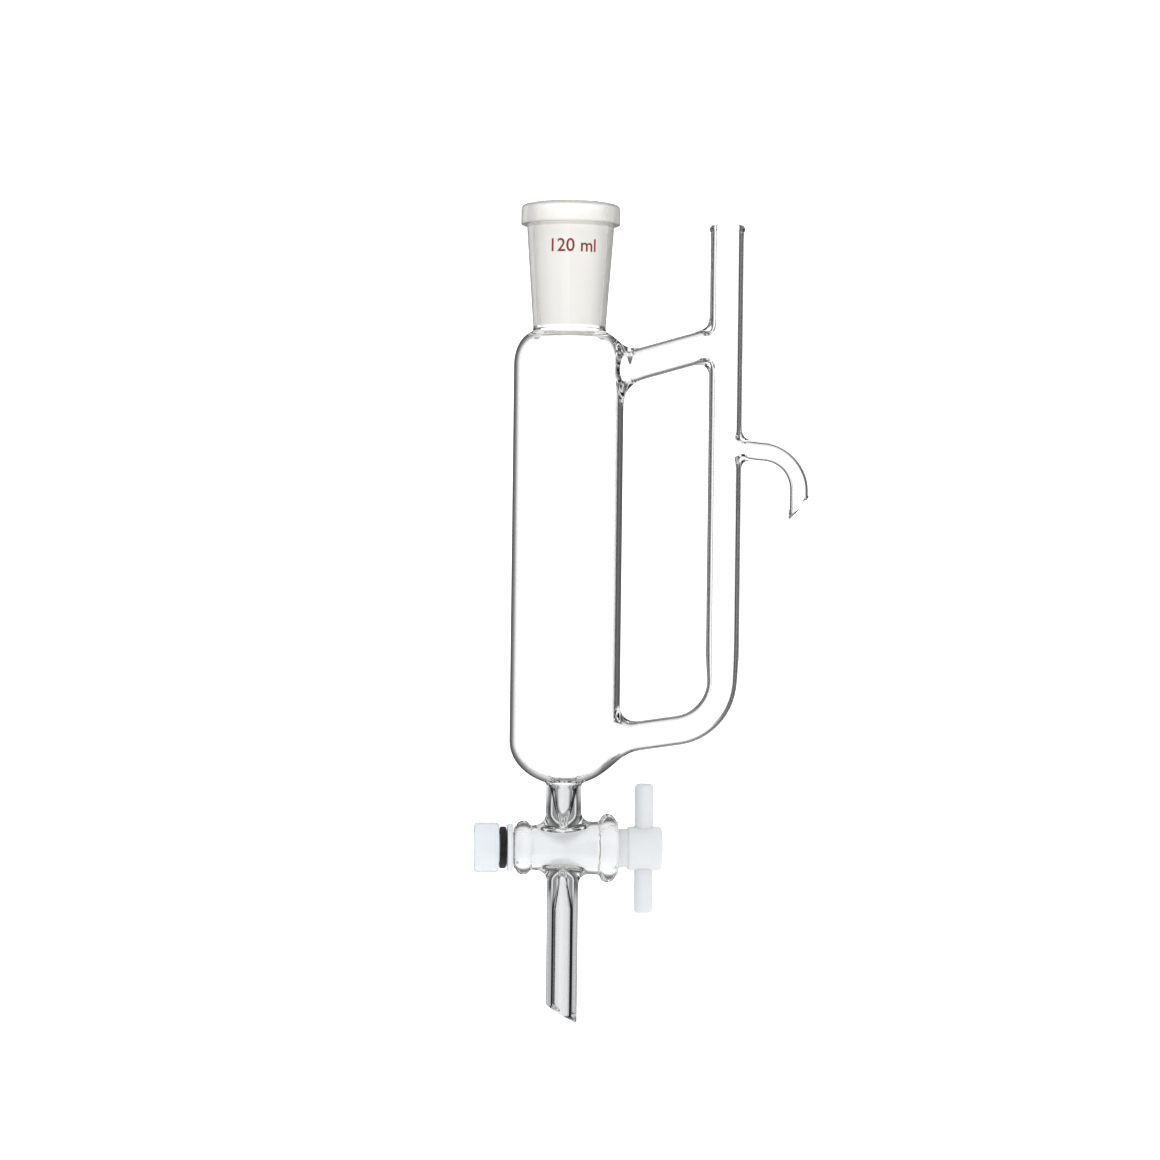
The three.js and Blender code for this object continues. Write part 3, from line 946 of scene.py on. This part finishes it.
def color_ramp(tree, factor, stops):
    """A colour from a 0-1 factor, through (place, colour) stops."""
    ramp = tree.nodes.new("ShaderNodeValToRGB")
    elements = ramp.color_ramp.elements
    elements[1].position = stops[-1][0]
    elements[0].position = stops[0][0]
    for at, _ in stops[1:-1]:
        elements.new(at)
    for element, (_, color) in zip(elements, stops):
        element.color = (*color, 1)
    tree.links.new(factor, ramp.inputs["Fac"])
    return ramp.outputs["Color"]


def clear_glass():
    """Drawn tube: its tint and its skin vary by next to nothing."""
    material, shader = new_material(
        "borosilicate_glass", (0.992, 0.993, 0.99),
        Roughness=0, IOR=GLASS_IOR, Transmission_Weight=1,
    )
    tree = material.node_tree
    tints = (0.99, 0.991, 0.987), (0.994, 0.995, 0.993)
    vary(tree, noise(tree, 40), *tints, shader.inputs["Base Color"])
    add_bump(material, shader, noise(tree, 45, 1), 0.1, 0.1)
    return material


def bead_glass():
    """Glass drawn by hand in the flame, with an uneven skin, for the rim and the ground tips.
    Faces that look up are painted grey as painted shade, and a painted shadow line runs along the
    rim's lower edge. Its faint glow is painted light."""
    # Painted shade: top is the grey painted on faces that look up, and line is the grey of the
    # painted shadow under the rim. side is the glass's own colour.
    side, top, line = (0.99, 0.982, 0.96), (0.33, 0.32, 0.3), (0.4, 0.39, 0.365)
    material, shader = new_material(
        "bead_glass", side, Roughness=0.16, IOR=GLASS_IOR, Transmission_Weight=1
    )
    add_glow(shader, (1, 0.985, 0.955), 0.045)
    tree = material.node_tree
    # Painted shade: faces that look up take the grey top colour.
    upward = fade(tree, upward_part(tree, "Normal"), 0.05, 0.5)
    tint = color_mix(tree, upward, (*side, 1), (*top, 1))
    height = upward_part(tree, "Object")
    # The painted shadow line under the rim lies between these heights.
    start, full, still_full, end = [(JOINT_HIGH[2] - BEAD_HEIGHT + z) * MM for z in RIM_SHADOW_LINE]
    above, below = fade(tree, height, start, full), fade(tree, height, end, still_full)
    on_painted_shadow = compute(tree, "MULTIPLY", above, below)
    tree.links.new(color_mix(tree, on_painted_shadow, tint, (*line, 1)), shader.inputs["Base Color"])
    add_bump(material, shader, noise(tree, 350, 1, (1, 1, 3)), 0.3, 0.12)
    return material


def near_barrel(tree):
    """1 where the thick tubes widen into the barrel, fading to 0 further along them."""
    offset = compute(tree, "SUBTRACT", upward_part(tree, "Object"), AXIS_Z * MM)
    return fade(tree, compute(tree, "ABSOLUTE", offset), FLARE[1] * MM, FLARE[0] * MM)


def painted_wall_shades(tree, factor, stops):
    """A painted grey shade for each facing, from (facing, brightness) stops. The colour acts by
    its root.
    """
    greys = [(at, tuple(b * b * share for share in COOL)) for at, b in stops]
    return color_ramp(tree, factor, greys)


def thick_glass(name, stops, flare):
    """Glass so thick that its wall bends light far off to the side. The dark wall on either side
    of the bore is painted shade: Layer Weight darkens the colour where light comes out, and stops
    are (facing, brightness) pairs, along the tube and where it widens into the barrel."""
    material, shader = new_material(
        name, (1, 1, 1), Roughness=0, IOR=GLASS_IOR, Transmission_Weight=1
    )
    tree = material.node_tree
    angle = facing(tree)
    along = painted_wall_shades(tree, angle, stops)
    wall = color_mix(tree, near_barrel(tree), along, painted_wall_shades(tree, angle, flare))
    # Only light leaving the glass takes the painted shade. Light going in stays white.
    leaving = tree.nodes.new("ShaderNodeNewGeometry").outputs["Backfacing"]
    tree.links.new(color_mix(tree, leaving, (1, 1, 1, 1), wall), shader.inputs["Base Color"])
    return material


def ground_glass():
    """Frosted by grinding, with a fine grain. Its glow is painted light, for the light it
    scatters.
    """
    material, shader = new_material(
        "ground_glass", (0.95, 0.94, 0.92), Roughness=0.5, IOR=GLASS_IOR, Transmission_Weight=0.75
    )
    add_glow(shader, (1, 0.985, 0.955), 0.125)
    tree = material.node_tree
    tints = (0.74, 0.729, 0.7), (0.76, 0.751, 0.724)
    vary(tree, noise(tree, 900), *tints, shader.inputs["Base Color"])
    add_bump(material, shader, noise(tree, 6000, 3), 0.5, 0.05)
    return material


def ptfe(name="ptfe", glow=0.0):
    """White PTFE with fine turning marks. A glow, where one is given, is painted light."""
    material, shader = new_material(
        name, (0.87, 0.9, 0.925), Roughness=0.42, IOR=1.35,
        Subsurface_Weight=0.35, Subsurface_Scale=1.2 * MM, Specular_IOR_Level=0.4,
    )
    shader.inputs["Subsurface Radius"].default_value = (1, 1, 1)
    add_glow(shader, (0.95, 0.98, 1), glow)
    tree = material.node_tree
    tints = (0.855, 0.89, 0.92), (0.885, 0.91, 0.93)
    vary(tree, noise(tree, 260, 3), *tints, shader.inputs["Base Color"])
    add_bump(material, shader, noise(tree, 2600, 2, (3, 1, 1)), 0.25, 0.04)
    return material


def nut_plastic():
    """Milky plastic. Its colour is painted darker where it is seen edge on, as painted shade for
    light lost where it has to pass through more of the wall, and its glow is painted light.
    """
    material, shader = new_material(
        "nut_plastic", (0.9, 0.93, 0.955), Roughness=0.3, IOR=1.42, Transmission_Weight=0.45
    )
    add_glow(shader, (0.93, 0.96, 0.98), 0.125)
    tree = material.node_tree
    # Painted shade: darker towards a grazing view.
    shades = [(0, (0.91, 0.94, 0.965)), (0.45, (0.86, 0.9, 0.935)), (1, (0.4, 0.45, 0.5))]
    tree.links.new(color_ramp(tree, facing(tree), shades), shader.inputs["Base Color"])
    add_bump(material, shader, noise(tree, 1500, 2), 0.2, 0.04)
    return material


def black_rubber():
    """Matt moulded rubber."""
    material, shader = new_material(
        "black_rubber", (0.012, 0.012, 0.014), Roughness=0.55, Specular_IOR_Level=0.25
    )
    tree = material.node_tree
    tints = (0.008, 0.008, 0.01), (0.02, 0.02, 0.023)
    vary(tree, noise(tree, 700, 3), *tints, shader.inputs["Base Color"])
    add_bump(material, shader, noise(tree, 4000, 2), 0.4, 0.05)
    return material


def seal_rubber():
    """Cream rubber."""
    material, shader = new_material("seal_rubber", (0.9, 0.88, 0.84), Roughness=0.5)
    tree = material.node_tree
    tints = (0.88, 0.86, 0.81), (0.92, 0.9, 0.86)
    vary(tree, noise(tree, 900, 2), *tints, shader.inputs["Base Color"])
    return material


def red_enamel():
    """Enamel that was printed and fired, a little uneven in its red."""
    material, shader = new_material("red_enamel", (0.32, 0.018, 0.022), Roughness=0.45)
    tree = material.node_tree
    tints = (0.28, 0.014, 0.018), (0.36, 0.022, 0.026)
    vary(tree, noise(tree, 1800, 3), *tints, shader.inputs["Base Color"])
    return material


# ---- Stage ----


def make_floor():
    """A plain pale floor, well below the object, which hangs by its joint."""
    bpy.ops.mesh.primitive_plane_add(size=FLOOR_SIZE, location=(0, 0, FLOOR_Z))
    floor = bpy.context.object
    floor.name = "floor"
    material, shader = new_material("floor", (0.94, 0.94, 0.94), Roughness=0.9)
    add_glow(shader, (1, 1, 1), 0.5)
    floor.data.materials.append(material)


def make_world():
    """A white room. Light that was mirrored inside the glass comes from between dark screens that
    stand all round it, and light that falls on solid surfaces is weaker."""
    world = bpy.data.worlds.new("studio")
    bpy.context.scene.world = world
    world.use_nodes = True
    tree = world.node_tree
    room = tree.nodes["Background"]
    soft = tree.nodes.new("ShaderNodeBackground")
    for background, strength in ((room, ROOM_STRENGTH), (soft, SOFT_STRENGTH)):
        background.inputs["Color"].default_value = (1, 1, 1, 1)
        background.inputs["Strength"].default_value = strength
    path = tree.nodes.new("ShaderNodeLightPath")

    def switch(depth, usual, other):
        """Usual for rays that have not met such a surface yet, and other for those that have."""
        mix = tree.nodes.new("ShaderNodeMixShader")
        tree.links.new(compute(tree, "GREATER_THAN", path.outputs[depth], 0.5), mix.inputs[0])
        tree.links.new(usual, mix.inputs[1])
        tree.links.new(other.outputs["Background"], mix.inputs[2])
        return mix.outputs["Shader"]

    direction = tree.nodes.new("ShaderNodeSeparateXYZ")
    tree.links.new(tree.nodes.new("ShaderNodeTexCoord").outputs["Generated"], direction.inputs[0])
    around = compute(tree, "ARCTAN2", direction.outputs["X"], direction.outputs["Y"])
    thirds = compute(tree, "DIVIDE", around, 2 * math.pi / 3)
    turn = compute(tree, "FRACT", compute(tree, "ADD", thirds, SCREENS_START))
    stops = [(at, (b, b + blue / 2, b + blue)) for at, b, blue in SCREENS]
    screens = tree.nodes.new("ShaderNodeBackground")
    steep = fade(tree, compute(tree, "ABSOLUTE", direction.outputs["Z"]), *STEEP)
    ceiling = (CEILING, CEILING, CEILING, 1)
    color = color_mix(tree, steep, color_ramp(tree, turn, stops), ceiling)
    tree.links.new(color, screens.inputs["Color"])
    surface = switch("Glossy Depth", room.outputs["Background"], screens)
    surface = switch("Diffuse Depth", surface, soft)
    tree.links.new(surface, tree.nodes["World Output"].inputs["Surface"])


def add_area_light(name, azimuth, elevation, distance, size, power):
    """A soft light looking at the middle of the object."""
    target = (np.array(cad_box[0]) + np.array(cad_box[1])) / 2
    a, e = math.radians(azimuth), math.radians(elevation)
    back = np.array((math.sin(a) * math.cos(e), -math.cos(a) * math.cos(e), math.sin(e)))
    data = bpy.data.lights.new(name, "AREA")
    data.size = size
    data.energy = power
    light = bpy.data.objects.new(name, data)
    light.location = target + back * distance
    light.rotation_euler = Vector(-back).to_track_quat("-Z", "Y").to_euler()
    bpy.context.scene.collection.objects.link(light)


def make_camera():
    """Level with the middle of the object, with the small lean that the picture has."""
    azimuth = math.radians(CAMERA_AZIMUTH)
    back = Vector((math.sin(azimuth), -math.cos(azimuth), 0))
    data = bpy.data.cameras.new("camera")
    data.sensor_width = SENSOR_WIDTH
    data.lens = data.sensor_width / 2 / (VIEW_WIDTH / 2 / CAMERA_DISTANCE)
    data.clip_start = 0.01
    camera = bpy.data.objects.new("camera", data)
    lean = Matrix.Rotation(math.radians(LEAN), 4, "Z")
    look = (-back).to_track_quat("-Z", "Y").to_matrix().to_4x4()
    position = Vector(CAMERA_TARGET) + back * CAMERA_DISTANCE
    camera.matrix_world = Matrix.Translation(position) @ look @ lean
    bpy.context.scene.collection.objects.link(camera)
    bpy.context.scene.camera = camera


def set_light_paths(scene):
    """Plain colours, and enough bounces for light to cross every wall of the glass."""
    scene.view_settings.view_transform = "Standard"
    scene.cycles.max_bounces = 32
    scene.cycles.transmission_bounces = 32
    scene.cycles.glossy_bounces = 12
    scene.cycles.use_denoising = True


# ---- The scene ----

set_light_paths(bpy.context.scene)
make_camera()
make_floor()
make_world()
for light in LIGHTS:
    add_area_light(*light)

white = ptfe()
neck = thick_glass("neck_glass", NECK_PAINTED_SHADES, FLARE_PAINTED_SHADES)
stem = thick_glass("stem_glass", STEM_PAINTED_SHADES, FLARE_PAINTED_SHADES)
make_vessel(clear_glass(), ground_glass(), neck, stem, bead_glass())
make_mark(red_enamel())
# The plug's glow is painted light, for the light that the barrel's glass gathers on it.
make_plug(white, ptfe("ptfe_lit_in_barrel", 0.49))
make_handle(white)
make_seal(seal_rubber())
make_clamp_ring("washer", WASHER_LOW, WASHER_HIGH, 0.35, white, "ptfe", "thrust_washer")
make_clamp_ring(
    "rubber_ring", RING_LOW, RING_HIGH, 0.8, black_rubber(), "black_rubber", "rubber_ring"
)
make_nut(nut_plastic())
